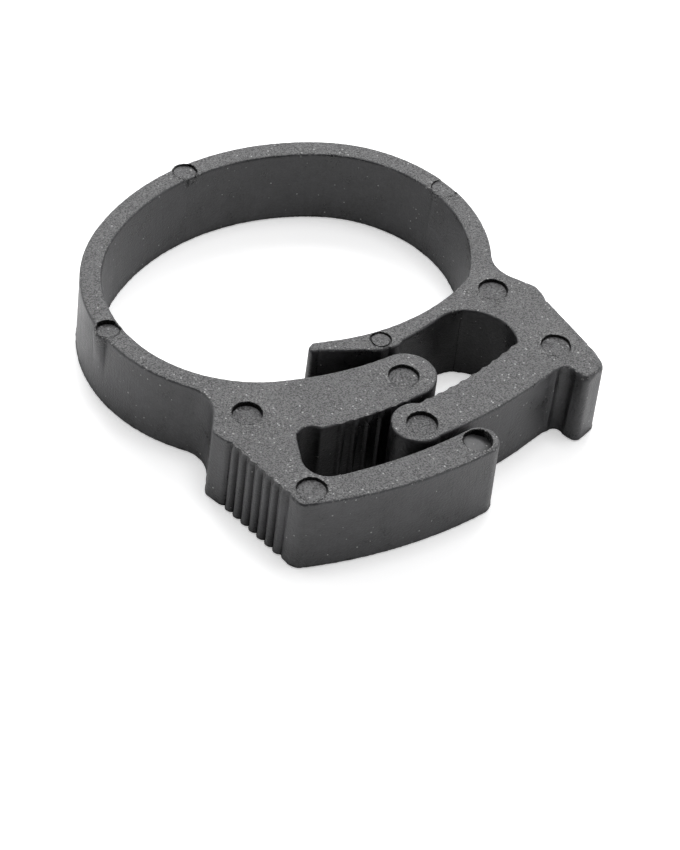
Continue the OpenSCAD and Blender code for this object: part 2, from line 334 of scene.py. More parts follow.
class Mark:
    """A round ejector mark sunk into the top face; kind is plain, ring or torn, and tilt its deepest side."""

    def __init__(self, centre, radius, depth, kind="plain", tilt=None):
        self.lean = None if tilt is None else at((0, 0), 0.6 / radius, tilt)
        self.centre, self.radius, self.depth, self.kind = np.array(centre, float), radius, depth, kind
        rnd = random.Random(int(1000 * radius + 77 * abs(centre[0])))
        self.wave = [(rnd.uniform(-1, 1), k, rnd.uniform(0, 6.28)) for k in (5, 9, 14, 23)]
        self.jitter = 0.03 if kind == "torn" else 0.010
        r = radius
        # radius, share of the depth and share of the burr, from the outside in
        self.steps = {
            "plain": ((r + 0.085, 0, 0), (r + 0.03, 0, 1), (r, 0.15, 0.6), (r - 0.03, 1, 0), (r - 0.1, 1, 0)),
            "ring": ((r + 0.07, 0, 0), (r + 0.02, 0, 0.7), (r - 0.01, 1, 0), (r - 0.09, 1, 0), (r - 0.13, 0.3, 0),
                     (r - 0.25, 0.25, 0)),
            "torn": ((r + 0.12, 0, 0), (r + 0.05, 0, 1), (r, 0, 0.8), (r - 0.04, 1, 0), (r - 0.12, 1, 0)),
        }[kind]

    def ripple(self, a):
        return sum(w * math.sin(k * a + f) for w, k, f in self.wave) / 2.2

    def burr(self, a):
        """Height of the burr at angle a."""
        if self.kind == "torn":
            return 0.025 + 0.10 * max(0.0, math.cos(a - 0.5)) ** 6 * max(0.2, 0.7 + self.ripple(a))
        return 0.035 * max(0.3, 0.8 + self.ripple(a))

    def rings(self):
        n = 56
        for r, _, _ in self.steps:
            yield [self.centre + (r + self.jitter * self.ripple(2 * math.pi * i / n))
                   * np.array([math.cos(2 * math.pi * i / n), math.sin(2 * math.pi * i / n)]) for i in range(n)]

    def lift(self, p):
        """Height change of the top face at p."""
        a = math.atan2(p[1] - self.centre[1], p[0] - self.centre[0])
        d = math.dist(p[:2], self.centre) - self.jitter * self.ripple(a)
        if d >= self.steps[0][0]:
            return 0.0
        for (r1, s1, b1), (r0, s0, b0) in zip(self.steps, self.steps[1:]):
            if d >= r0:
                t = (r1 - d) / (r1 - r0)
                return self.burr(a) * (b1 + (b0 - b1) * t) - self.sunk(p) * (s1 + (s0 - s1) * t)
        return -self.sunk(p) * self.steps[-1][1]

    def sunk(self, p):
        """Depth of the floor at p."""
        if self.lean is None:
            return self.depth
        return self.depth * min(1.0, max(0.0, 0.5 + float((np.array(p[:2]) - self.centre) @ self.lean)))


def fill(loop, marks):
    """Triangles that fill the loop, with the marks' rings among them: points and faces."""
    points = [Vector((float(x), float(y))) for x, y in loop]
    edges = []
    for mark in marks:
        for ring in mark.rings():
            hit, near = inside(ring, loop)
            ok = hit & (near > 0.03)
            index = {}
            for i, p in enumerate(ring):
                if ok[i]:
                    index[i] = len(points)
                    points.append(Vector((float(p[0]), float(p[1]))))
            edges += [(index[i], index[(i + 1) % len(ring)]) for i in index if (i + 1) % len(ring) in index]
    made = delaunay_2d_cdt(points, edges, [list(range(len(loop)))], 1, 1e-6)
    verts, tris, origin = made[0], made[2], made[3]
    place = {}
    for i, src in enumerate(origin):
        for k in src:
            place[k] = i
    if len({place[k] for k in range(len(loop))}) != len(loop):
        raise RuntimeError("a cap lost points of its rim")
    return [np.array(v[:]) for v in verts], [list(t) for t in tris], [place[k] for k in range(len(loop))]


# rows of the wall from the parting face up: height in mm and step outwards, where FLASH_ROW marks the flash
FLASH_ROW = 1.0
FOOT_ROWS = ((0.0, -0.06), (0.03, -0.03), (0.055, 0.0), (0.07, FLASH_ROW), (0.11, FLASH_ROW), (0.15, 0.0), (0.6, 0.0))
WALL_ROWS = 0.3, 0.5, 0.7  # shares of the height between foot and rim
RIM_ROWS = 0.6, 0.42, 0.28, 0.16, 0.07, 0.0  # depths under the rounded edge, mm
EDGE_TURNS = 20, 42, 66, 90  # degrees round the edge
SCUFF_FROM = 0.86  # share of the edge that stays whole
LIP, LIP_REACH = 0.03, 0.12  # where a mark's lip stands outside its rim and how far it is rubbed, mm
# painted shade: a thin line inside the rim of each mark, and a ragged band on one side of the torn mark, are darkened
# in the colour
RIM_SHADE, RIM_SHADE_HALF = 0.015, 0.028  # the dark line inside the rim of a mark, mm
TORN_SHADE, TORN_HALF, TORN_SIDE, TORN_SPREAD = 0.02, 0.05, 1.66, 0.3  # the same at a torn mark, on one side of it


def draw_up(name, loop, cuts, marks, f, top=None, bottom=0.0, convex=0.16, concave=0.22, radius=None,
            rounds=(), snug=None, morph=None, swell=None, seed=1):
    """Makes a closed mesh object from a flat loop: walls with draft and flash, rounded top, marks sunk in.

    morph is a second place for each point of the loop and its weight at a height, so that ridges and bosses
    can run out into a wall.
    """
    top = f.height if top is None else top
    radius = f.edge_round if radius is None else radius
    swell = f.swell if swell is None else swell
    p = np.array(soften(loop, cuts, convex, concave, rounds))
    out = outsets(p, cuts)
    n = len(p)
    rnd = random.Random(seed)
    waver = np.array([0.0 if on_cut(q, cuts) else rnd.uniform(-1, 1) for q in p])
    share = np.array([1.0 if snug is None else snug(q) for q in p])
    edge = np.full(n, radius)
    for place in rounds:
        if len(place) > 2:
            d = np.linalg.norm(p - np.array(place[0]), axis=1)
            edge = np.maximum(edge, radius + (place[2] - radius) * np.clip(1.6 - d / 0.6, 0, 1))
    high = top + np.array([sum(m.lift(q) for m in marks) for q in p])
    swell = swell * (0.3 + 0.7 * share)
    shapes = [(p, out, room(p, out, swell + f.draft + 1.4 * f.flash, cuts),
               room(p, out, -np.maximum(edge, 0.07), cuts))]
    if morph:
        p2 = np.array([morph[0](q) for q in p])
        out2 = outsets(p2, cuts)
        shapes.append((p2, out2, room(p2, out2, swell + f.draft + 1.4 * f.flash, cuts),
                       room(p2, out2, -np.maximum(edge, 0.07), cuts)))
    rows, verts, faces = [], [], []

    def ring(z, grow):
        grow = grow + swell + f.draft * share * (1 - (z - bottom) / (high - bottom))
        places = [q + o * (grow * np.where(grow > 0, wide, narrow))[:, None] for q, o, wide, narrow in shapes]
        xy = places[0]
        if morph:
            w = np.array([morph[1](h) for h in z])[:, None]
            xy = xy * (1 - w) + places[1] * w
        rows.append(len(verts))
        verts.extend((x, y, h) for (x, y), h in zip(xy, z))

    still = np.zeros(n)
    for dist, move in FOOT_ROWS:
        grow = f.flash * np.clip(0.75 + 0.4 * waver, 0.1, 1.3) if move == FLASH_ROW else still + move
        ring(np.full(n, bottom + dist), grow)
    for t in WALL_ROWS:
        ring(bottom + 0.6 + (high - edge - 0.6 - bottom - 0.6) * t, still)
    for dist in RIM_ROWS:
        ring(high - edge - dist, still)
    for turn in EDGE_TURNS:
        a = math.radians(turn)
        ring(high - edge * (1 - math.sin(a)), -edge * (1 - math.cos(a)) + 0.010 * waver)
    for a, b in zip(rows, rows[1:]):
        for i in range(n):
            j = (i + 1) % n
            faces.append((a + i, a + j, b + j, b + i))
    points, tris, place = fill([verts[rows[-1] + i][:2] for i in range(n)], marks)
    index = {k: rows[-1] + i for i, k in enumerate(place)}
    for k, q in enumerate(points):
        if k not in index:
            index[k] = len(verts)
            verts.append((q[0], q[1], top + sum(m.lift(q) for m in marks)))
    faces += [tuple(index[k] for k in t) for t in tris]
    points, tris, place = fill([verts[rows[0] + i][:2] for i in range(n)], ())
    index = {k: rows[0] + i for i, k in enumerate(place)}
    if len(points) != n:
        raise RuntimeError(f"{name}: the bottom outline crosses itself")
    faces += [tuple(index[k] for k in reversed(t)) for t in tris]

    mesh = bpy.data.meshes.new(name)
    mesh.from_pydata([(x * MM, y * MM, z * MM) for x, y, z in verts], [], faces)
    mesh.polygons.foreach_set("use_smooth", [True] * len(faces))
    mesh.update()
    mesh.set_sharp_from_angle(angle=math.radians(38))
    rims = set(range(rows[-1], rows[-1] + n)) | set(range(rows[0], rows[0] + n))
    for e in mesh.edges:
        a, b = e.vertices
        if a in rims and b in rims and abs(a - b) in (1, n - 1):
            e.use_edge_sharp = True
    scuff, plain, groove = (np.zeros(len(verts), np.float32) for _ in range(3))
    for start in rows[-4:-1]:
        scuff[start:start + n] = [0.7 * max(0.0, rnd.random() - SCUFF_FROM) / (1 - SCUFF_FROM) for _ in range(n)]
    for m in marks:
        for k, v in enumerate(verts):
            d = math.dist(v[:2], m.centre)
            if v[2] > top - 0.6 and d < m.radius + 0.2:
                near = 1 - min(1, abs(d - m.radius - LIP) / LIP_REACH)
                scuff[k] = max(scuff[k], near if m.kind == "torn" else 0.6 * near)
                plain[k] = float(m.kind == "torn" and d < m.radius)
                a = math.atan2(v[1] - m.centre[1], v[0] - m.centre[0])
                # painted shade along the inside of the rim, on one side only at a torn mark
                groove[k] = float(abs(d - m.radius + RIM_SHADE) < RIM_SHADE_HALF if m.kind != "torn" else
                                  abs(d - m.radius + TORN_SHADE) < TORN_HALF
                                  and math.cos(a - TORN_SIDE) > TORN_SPREAD)
    mesh.attributes.new("scuff", "FLOAT", "POINT").data.foreach_set("value", scuff)
    mesh.attributes.new("plain_floor", "FLOAT", "POINT").data.foreach_set("value", plain)
    mesh.attributes.new("groove", "FLOAT", "POINT").data.foreach_set("value", groove)
    obj = bpy.data.objects.new(name, mesh)
    bpy.context.scene.collection.objects.link(obj)
    return obj


# ---------------------------------------------------------------- the clip's own numbers

def circle_through(a, b, c):
    """Centre and radius of the circle through three points."""
    m = 2 * np.array([b - a, c - a])
    centre = np.linalg.solve(m, [b @ b - a @ a, c @ c - a @ a])
    return centre, math.dist(centre, a)


class Form:
    """Places worked out from the sizes, in millimetres."""

    def __init__(self, s):
        for key in ("bore_width side_radius back_rise height wall neck_radius mark_radius small_mark_radius "
                    "tooth_depth crest_gap tip_radius arm_width arm_gap outer_thickness rib_pitch rib_depth "
                    "edge_round swell draft flash").split():
            setattr(self, key, getattr(s, key) / MM)
        self.tooth_pitch = math.degrees(s.tooth_pitch)
        self.rib_count = s.rib_count
        sr, wall = self.side_radius, self.wall
        hw = self.bore_width / 2
        cx = hw - sr
        self.SL, self.SR = np.array([-cx, 0.0]), np.array([cx, 0.0])
        by = sr + self.back_rise
        self.back_r = (cx * cx + by * by - sr * sr) / (2 * self.back_rise)
        self.CB = np.array([0.0, by - self.back_r])
        self.a1 = 90 + math.degrees(math.atan2(cx, -self.CB[1]))
        mid = sr + wall / 2
        self.H1, self.H2 = at(self.SL, mid, self.a1), at(self.SL, mid + 0.08, 177.7)
        self.cut_a, neck_a = 213.0, 215.6
        self.NC = at(self.SL, sr + wall + self.neck_radius, neck_a)
        self.NT = at(self.SL, sr + wall, neck_a)
        self.band_mark = np.array([-0.65, self.CB[1] + self.back_r + wall / 2 + 0.03])
        self.boss, self.boss_r = at(self.SL, mid + 0.17, 175.9), 0.82
        self.seam_back = 90 + math.degrees(math.asin(5.3 / (self.back_r + wall / 2)))
        self.seam_side = 150.0
        # the two jaws slide past each other about P
        pole_y = 2 * self.H1[1] - self.H2[1] + 0.13
        self.P = P = np.array([0.0, pole_y])
        self.front_r = pole_y + sr
        self.tongue_in = sr + 12.45
        self.TI = at(self.SL, sr - self.tongue_in, 245.4)
        tx = 0.28
        self.TIP = np.array([tx, self.TI[1] - math.sqrt((self.tongue_in + self.tip_radius - 0.01) ** 2
                                                        - (tx - self.TI[0]) ** 2)])
        self.TT = self.TI + self.tongue_in * (self.TIP - self.TI) / np.linalg.norm(self.TIP - self.TI)
        self.crest = float(np.linalg.norm(self.TIP - P)) + self.tip_radius + 0.2
        self.root = self.crest - self.tooth_depth - 0.02
        self.arm_in = self.crest + self.crest_gap
        self.arm_out = self.arm_in + self.arm_width
        self.arm_mid = (self.arm_in + self.arm_out) / 2
        self.AC, self.arm_arc = circle_through(*(at(P, self.arm_out + d, -90 + a) for d, a in
                                                 ((-0.08, 0), (0.0, 4.3), (0.12, 12.0))))
        self.outer_in = self.arm_out + self.arm_gap
        self.C2 = np.array([0.0, pole_y - 6.7])
        self.outer_r = self.outer_in + self.outer_thickness - 6.7
        self.finger_out = self.front_r + 0.4
        self.CF = np.array([cx + 0.02, 6.35])
        self.finger_in = sr + 5.42
        self.arm_root = self.arm_in - 0.06
        self.NOSE, self.nose_r = at(P, self.arm_in + 1.23, -90 - math.degrees(math.asin(1.62 / self.arm_mid))), 1.64
        self.arm_a = math.degrees(math.asin((hw - 5.8) / self.arm_mid))
        self.FP = at(P, self.arm_mid, -90 + self.arm_a)
        self.slot_r = 2.65
        slot_d = (self.finger_out + self.arm_in) / 2 + 0.168
        self.slot_a = math.degrees(math.asin((hw - 6.7) / slot_d))
        self.SC = at(P, slot_d, -90 + self.slot_a)
        fx = hw - 7.2
        top = self.CF[1] - math.sqrt(self.finger_in ** 2 - (fx - self.CF[0]) ** 2)
        self.FF = np.array([fx, top - 0.41])
        self.TOE = [(-3.1, 1.68 - sr), (-3.47, 1.76 - sr), (-3.47, 2.1 - sr), (-2.95, 2.4 - sr)]
        # the left slot between tongue and outer arm
        self.hump_a = -math.degrees(math.asin((hw - 4.45) / self.arm_in))
        self.HC = at(P, self.arm_in, -90 + self.hump_a)
        self.low_r, self.hump_r = 1.55, 1.0
        self.low_a = -math.degrees(math.asin((hw - 4.2) / (self.outer_in - self.low_r)))
        self.LC = at(P, self.outer_in - self.low_r, -90 + self.low_a)
        self.tongue_cut, self.outer_cut = self.hump_a - 1.44, self.low_a + 0.6
        self.HC, self.LC = self.HC + [0.08, 0], self.LC + [0.08, 0]
        span = self.LC - self.HC
        self.LN = (math.degrees(math.atan2(span[1], span[0]))
                   - math.degrees(math.acos((self.hump_r - self.low_r) / np.linalg.norm(span))))
        self.KL, self.KR = np.array([-hw, -sr]), np.array([hw, -sr])
        self.QL, self.QR = self.KL + [-0.25, -0.75], self.KR + [-0.11, -0.80]
        self.pad_top, self.lip_y, self.scoop_r = -1.8, -7.55, 0.68
        self.pad_len = self.rib_count * self.rib_pitch
        self.SCOOP, self.BED, self.bed_r = self.KR + [-3.55, -8.05], self.KR + [-4.04, -8.9], 1.5
        self.LIP = [self.KR + [-0.92, -8.25], self.KR + [-1.12, -8.66], self.KR + [-2.73, -9.08]]
        self.arm_seam, self.finger_seam = self.FP[0] + 1.5, self.FF[0] + 1.6

    def padl(self, d, w):
        """Point on the left grip, d along it from the heel corner and w under its ribs."""
        return self.KL + [0.02 - 0.105 * (d + 2.2) + w, d]

    def under_l(self, q):
        """How far q lies under the ribs of the left grip."""
        return q[0] - self.padl(q[1] - self.KL[1], 0)[0]

    def padr(self, d, w):
        """The same on the right grip."""
        return self.KR + [-0.30 + 0.072 * (d + 2.12) - w, d]

    def under_r(self, q):
        return self.padr(q[1] - self.KR[1], 0)[0] - q[0]

    def snug(self, q):
        """Share of the draft at q: little where two arms slide past each other."""
        r = math.dist(q, self.P)
        close = 0.0
        for lo, hi in ((self.root - 0.7, self.arm_in + 0.8), (self.arm_out - 0.5, self.outer_in + 0.5),
                       (self.front_r - 0.4, self.finger_out + 0.5)):
            close = max(close, min(1.0, max(0.0, (r - lo) / 0.3 + 1)) * min(1.0, max(0.0, (hi - r) / 0.3 + 1)))
        side = min(1.0, max(0.0, (9.5 - abs(q[0])) / 2.0))
        return 1.0 - 0.75 * close * side


def band_loop(f, side):
    """Outline of a shoulder: from the seam in the back to the seam in the side."""
    inner, outer = [], []
    for k in range(41):
        a = f.seam_back + (f.a1 - f.seam_back) * k / 40
        inner.append(at(f.CB, f.back_r, a))
        outer.append(at(f.CB, f.back_r + f.wall, a))
    for k in range(1, 31):
        a = f.a1 + (f.seam_side - f.a1) * k / 30
        inner.append(at(f.SL, f.side_radius, a))
        outer.append(at(f.SL, f.side_radius + f.wall, a))
    loop = inner + outer[::-1]
    if side > 0:
        loop = [flip(p) for p in loop]
    return loop if area(loop) > 0 else loop[::-1]


def back_loop(f):
    shapes = {"out": disc(f.CB, f.back_r + f.wall), "bore": disc(f.CB, f.back_r),
              "span": wedge(f.CB, 26, 180 - f.seam_back, f.seam_back), "boss": disc(f.band_mark, f.boss_r)}
    return outline(shapes, lambda k: (k["out"] and k["span"] or k["boss"]) and not k["bore"])


def left_loop(f):
    """Side, head, tongue and outer arm of the left jaw, without its ribs and teeth."""
    P = f.P
    end = at(P, f.outer_in + f.outer_thickness / 2, -90 + 1.1)
    shapes = {
        "band": disc(f.SL, f.side_radius + f.wall), "bore": disc(f.SL, f.side_radius),
        "side": wedge(f.SL, 14, f.seam_side, f.cut_a + 2.4), "boss": disc(f.boss, f.boss_r),
        "head": [at(f.SL, f.side_radius - 1.2, f.cut_a), at(f.SL, f.side_radius + f.wall, f.cut_a), f.NT, f.NC,
                 touch(f.NC, f.neck_radius, f.QL, 1), f.QL,
                 *(f.padl(f.pad_top - f.rib_pitch / 2 * t, f.rib_depth * (1 - math.cos(math.pi * t)) / 2)
                   for t in (0, 0.2, 0.4, 0.6, 0.8, 1)),
                 *(f.padl(f.pad_top - f.pad_len + f.rib_pitch / 2 * t, 0.08 + (f.rib_depth - 0.08)
                          * (1 - math.cos(math.pi * t)) / 2) for t in (1, 0.8, 0.6, 0.4, 0.2, 0)),
                 f.KL + [0.68, -8.05], f.KL + [1.05, -8.78], f.KL + [3.5, -11],
                 at(P, f.outer_in + 4, -90 + f.outer_cut), at(P, f.outer_in - 0.8, -90 + f.outer_cut),
                 at(P, f.outer_in - 2.2, -90 + f.tongue_cut), at(P, f.front_r - 1.5, -90 + f.tongue_cut)],
        "face": disc(f.C2, f.outer_r), "neck": disc(f.NC, f.neck_radius),
        "hump": disc(f.HC, f.hump_r), "low": disc(f.LC, f.low_r),
        "slot": [f.HC, at(f.HC, f.hump_r, f.LN), at(f.LC, f.low_r, f.LN), f.LC],
        "root": disc(P, f.root), "inner": disc(P, f.front_r - 2),
        "reach": wedge(P, 60, -90 + f.tongue_cut - 1,
                       -90 + math.degrees(math.atan2(f.TT[0], P[1] - f.TT[1]))),
        "tip": disc(f.TIP, f.tip_radius), "under": disc(f.TI, f.tongue_in),
        "outer_in": disc(P, f.outer_in), "outer": wedge(P, 60, -90 + f.outer_cut - 1, -90 + 1.1),
        "end": disc(end, f.outer_thickness / 2),
    }

    def keep(k):
        slot = k["hump"] or k["low"] or k["slot"]
        band = (k["band"] and k["side"] or k["boss"]) and not k["bore"]
        head = k["head"] and k["face"] and not (k["bore"] or k["neck"] or slot)
        tongue = ((k["root"] and k["reach"] and not k["inner"]) or k["tip"]) and not (
            k["bore"] or k["under"] or k["hump"])
        outer = (k["outer"] and k["face"] and not k["outer_in"] and not slot) or k["end"]
        return band or head or tongue or outer

    return outline(shapes, keep)


def right_loop(f):
    """Side, head, grip and stop lip of the right jaw, up to the seams of its arm and finger."""
    P, edge = f.P, f.pad_top - 0.12
    ribs = sum(1 for i in range(f.rib_count) if edge - (i + 1) * f.rib_pitch > f.lip_y)
    last, shallow = edge - ribs * f.rib_pitch, 0.55 * f.rib_depth
    shapes = {
        "band": disc(f.SR, f.side_radius + f.wall), "bore": disc(f.SR, f.side_radius),
        "side": wedge(f.SR, 14, 180 - f.cut_a - 2.4, 180 - f.seam_side),
        "boss": disc(flip(f.boss), f.boss_r), "bump": disc(f.SR, f.side_radius - 0.13),
        "head": [at(f.SR, f.side_radius - 1.2, 180 - f.cut_a), at(f.SR, f.side_radius + f.wall, 180 - f.cut_a),
                 flip(f.NT), flip(f.NC), touch(flip(f.NC), f.neck_radius, f.QR, -1), f.QR, f.KR + [-0.2, -1.5],
                 f.padr(edge, 0.04), f.padr(edge - 0.2, shallow), f.padr(last + 0.2, shallow), f.padr(last, 0.1),
                 f.padr(f.lip_y, 0.1), f.padr(f.lip_y, 0.5), f.SCOOP + [0, f.scoop_r],
                 np.array([f.arm_seam - 2, -17.2]), np.array([f.finger_seam - 1.2, -15.0]),
                 np.array([f.finger_seam - 1.2, f.FF[1] + 1.2])],
        "cup": disc(f.CF, f.finger_in), "hole": disc(f.SC, f.slot_r), "neck": disc(flip(f.NC), f.neck_radius),
        "within": disc(P, f.arm_root), "hole2": disc(f.SC + [0.35, -0.3], f.slot_r - 0.2),
        "lip": [f.SCOOP + [0, f.scoop_r + 0.3], f.padr(f.lip_y + 0.3, 0.2), f.padr(f.lip_y, 0.1),
                f.LIP[0], f.LIP[1], f.LIP[2], f.SCOOP + [0.6, -0.1], f.SCOOP],
        "scoop": disc(f.SCOOP, f.scoop_r), "bed": disc(f.BED, f.bed_r), "beside": block(-9, -30, f.SCOOP[0], -5),
        "arm": block(-20, -30, f.arm_seam, -12.3), "finger": block(-20, -12.3, f.finger_seam, -5),
    }

    def keep(k):
        band = k["band"] and k["side"] and not k["bore"]
        boss = k["boss"] and k["band"] and not k["bump"]
        head = k["head"] and not (k["scoop"] or k["bed"] and k["beside"] or k["bore"] and k["cup"]
                                  or (k["hole"] or k["hole2"]) and k["within"] or k["neck"])
        lip = k["lip"] and not k["scoop"]
        return (band or boss or head or lip) and not (k["arm"] or k["finger"])

    return outline(shapes, keep)


def arm_loop(f):
    """The toothed arm from its seam to its nose, without its teeth."""
    nose = -math.degrees(math.asin(1.62 / f.arm_mid))
    shapes = {
        "out": disc(f.AC, f.arm_arc), "in": disc(f.P, f.arm_root), "nose": disc(f.NOSE, f.nose_r),
        "bed": disc(f.BED, f.bed_r),
        "span": wedge(f.P, 60, -90 + nose, -90 + f.arm_a + 0.4), "foot": block(6.2, -17.6, f.arm_seam, -12.3),
        "hole": disc(f.SC, f.slot_r), "hole2": disc(f.SC + [0.35, -0.3], f.slot_r - 0.2),
    }
    return outline(shapes, lambda k: k["nose"] or k["out"] and not k["bed"] and (
        k["span"] and not k["in"] or k["foot"] and not (k["in"] and (k["hole"] or k["hole2"]))))


def finger_loop(f):
    """The inner finger from its seam to its tip."""
    sr = f.side_radius
    shapes = {
        "out": disc(f.P, f.finger_out), "cup": disc(f.CF, f.finger_in), "hole": disc(f.SC, f.slot_r),
        "bore": disc(f.SR, sr), "gap": wedge(f.P, 60, -102, -90 + f.slot_a), "belly": disc((1.3, 0.3 - sr), 0.85),
        "strip": [np.array(p) for p in ((f.FF[0] + 0.3, f.FF[1] + 1.6), (f.FF[0] + 0.3, f.FF[1] - 1.4),
                                        (0.25, -sr - 0.35), *f.TOE, (-2.0, -sr + 2.6))],
        "foot": block(f.FF[0] - 0.1, -10.4, f.finger_seam, -6.8),
    }
    return outline(shapes, lambda k: ((k["strip"] and k["out"] or k["belly"]) and not k["cup"]
                                      or k["foot"] and (k["out"] or not k["gap"]) and not (k["bore"] and k["cup"]))
                   and not k["hole"])


# ---------------------------------------------------------------- shader groups

def shader_group(name, inputs, outputs):
    """A new node group with the named sockets: the tree, its input node and its output node."""
    tree = bpy.data.node_groups.new(name, "ShaderNodeTree")
    for label, kind, value in inputs:
        socket = tree.interface.new_socket(name=label, in_out="INPUT", socket_type=kind)
        if value is not None:
            socket.default_value = value
    for label, kind in outputs:
        tree.interface.new_socket(name=label, in_out="OUTPUT", socket_type=kind)
    return tree, tree.nodes.new("NodeGroupInput"), tree.nodes.new("NodeGroupOutput")


def math_node(tree, kind, a, b=None, c=None):
    node = tree.nodes.new("ShaderNodeMath")
    node.operation = kind
    for i, v in enumerate((a, b, c)):
        if v is None:
            continue
        if isinstance(v, (int, float)):
            node.inputs[i].default_value = v
        else:
            tree.links.new(v, node.inputs[i])
    return node.outputs[0]


def ramp(tree, value, low, high, out_low=0.0, out_high=1.0, smooth=False):
    node = tree.nodes.new("ShaderNodeMapRange")
    if smooth:
        node.interpolation_type = "SMOOTHSTEP"
    tree.links.new(value, node.inputs["Value"])
    for key, v in (("From Min", low), ("From Max", high), ("To Min", out_low), ("To Max", out_high)):
        if isinstance(v, (int, float)):
            node.inputs[key].default_value = v
        else:
            tree.links.new(v, node.inputs[key])
    return node.outputs["Result"]


def noise(tree, vector, scale, detail=2.0, rough=0.5):
    node = tree.nodes.new("ShaderNodeTexNoise")
    tree.links.new(vector, node.inputs["Vector"])
    if isinstance(scale, (int, float)):
        node.inputs["Scale"].default_value = scale
    else:
        tree.links.new(scale, node.inputs["Scale"])
    node.inputs["Detail"].default_value = detail
    node.inputs["Roughness"].default_value = rough
    return node.outputs["Fac"]


def spark_grain():
    """Spark eroded grain: a height, a mask of painted glints on a few of its facets, and its hollows."""
    name = "Spark grain"
    if name in bpy.data.node_groups:
        return bpy.data.node_groups[name]
    tree, gin, gout = shader_group(name, [("Vector", "NodeSocketVector", None), ("Scale", "NodeSocketFloat", 7500.0)],
                                   [("Height", "NodeSocketFloat"), ("Facets", "NodeSocketFloat"),
                                    ("Hollows", "NodeSocketFloat")])
    v, scale = gin.outputs["Vector"], gin.outputs["Scale"]
    coarse = noise(tree, v, math_node(tree, "MULTIPLY", scale, 0.6), 2.0, 0.6)
    fine = noise(tree, v, scale, 3.0, 0.65)
    height = math_node(tree, "ADD", math_node(tree, "MULTIPLY", fine, 0.8), math_node(tree, "MULTIPLY", coarse, 0.3))
    tree.links.new(height, gout.inputs["Height"])
    cell = tree.nodes.new("ShaderNodeTexVoronoi")
    tree.links.new(v, cell.inputs["Vector"])
    tree.links.new(math_node(tree, "MULTIPLY", scale, 0.6), cell.inputs["Scale"])
    split = tree.nodes.new("ShaderNodeSeparateColor")
    tree.links.new(cell.outputs["Color"], split.inputs["Color"])
    lit = ramp(tree, split.outputs["Red"], 0.90, 0.96)
    near = ramp(tree, cell.outputs["Distance"], 0.42, 0.16)
    tree.links.new(math_node(tree, "MULTIPLY", lit, near), gout.inputs["Facets"])
    tree.links.new(ramp(tree, height, 0.62, 0.46), gout.inputs["Hollows"])
    return tree


def dust_specks():
    """Sparse specks of dust as a mask."""
    name = "Dust specks"
    if name in bpy.data.node_groups:
        return bpy.data.node_groups[name]
    tree, gin, gout = shader_group(name, [("Vector", "NodeSocketVector", None), ("Scale", "NodeSocketFloat", 900.0),
                                          ("Amount", "NodeSocketFloat", 0.2)], [("Mask", "NodeSocketFloat")])
    cell = tree.nodes.new("ShaderNodeTexVoronoi")
    tree.links.new(gin.outputs["Vector"], cell.inputs["Vector"])
    tree.links.new(gin.outputs["Scale"], cell.inputs["Scale"])
    split = tree.nodes.new("ShaderNodeSeparateColor")
    tree.links.new(cell.outputs["Color"], split.inputs["Color"])
    chosen = math_node(tree, "LESS_THAN", split.outputs["Green"], gin.outputs["Amount"])
    size = ramp(tree, split.outputs["Blue"], 0.0, 1.0, 0.05, 0.13)
    spot = ramp(tree, math_node(tree, "DIVIDE", cell.outputs["Distance"], size), 1.0, 0.6)
    tree.links.new(math_node(tree, "MULTIPLY", chosen, spot), gout.inputs["Mask"])
    return tree


def wall_flow():
    """Faint upright drag lines and clouding of a moulded wall: a height and a tone."""
    name = "Wall flow"
    if name in bpy.data.node_groups:
        return bpy.data.node_groups[name]
    tree, gin, gout = shader_group(name, [("Vector", "NodeSocketVector", None), ("Scale", "NodeSocketFloat", 2200.0)],
                                   [("Height", "NodeSocketFloat"), ("Tone", "NodeSocketFloat")])
    stretch = tree.nodes.new("ShaderNodeVectorMath")
    stretch.operation = "MULTIPLY"
    tree.links.new(gin.outputs["Vector"], stretch.inputs[0])
    stretch.inputs[1].default_value = (1.0, 1.0, 0.12)
    lines = noise(tree, stretch.outputs["Vector"], gin.outputs["Scale"], 3.0, 0.6)
    clouds = noise(tree, gin.outputs["Vector"], math_node(tree, "MULTIPLY", gin.outputs["Scale"], 0.24), 4.0, 0.65)
    pits = noise(tree, gin.outputs["Vector"], math_node(tree, "MULTIPLY", gin.outputs["Scale"], 3.2), 2.0, 0.6)
    height = math_node(tree, "ADD", math_node(tree, "MULTIPLY", lines, 0.40), math_node(tree, "MULTIPLY", pits, 0.75))
    tree.links.new(height, gout.inputs["Height"])
    tone = math_node(tree, "ADD", math_node(tree, "MULTIPLY", clouds, 0.6), math_node(tree, "MULTIPLY", lines, 0.15))
    tree.links.new(math_node(tree, "ADD", tone, math_node(tree, "MULTIPLY", pits, 0.25)), gout.inputs["Tone"])
    return tree


def place_group(tree, group, vector, **values):
    node = tree.nodes.new("ShaderNodeGroup")
    node.node_tree = group
    tree.links.new(vector, node.inputs["Vector"])
    for key, v in values.items():
        node.inputs[key].default_value = v
    return node


def mix_colour(tree, share, a, b):
    node = tree.nodes.new("ShaderNodeMix")
    node.data_type = "RGBA"
    tree.links.new(share, node.inputs["Factor"])
    for socket, v in ((node.inputs["A"], a), (node.inputs["B"], b)):
        if isinstance(v, tuple):
            socket.default_value = (*v, 1.0) if len(v) == 3 else v
        else:
            tree.links.new(v, socket)
    return node.outputs["Result"]


def point_value(tree, name):
    """A value kept on the points of the mesh."""
    node = tree.nodes.new("ShaderNodeAttribute")
    node.attribute_name = name
    return node.outputs["Fac"]


def openness(tree, reach, local):
    """How open a place is within its reach: 1 in the open and 0 in a narrow gap."""
    node = tree.nodes.new("ShaderNodeAmbientOcclusion")
    node.samples = 8
    node.only_local = local
    node.inputs["Distance"].default_value = reach
    return node.outputs["AO"]


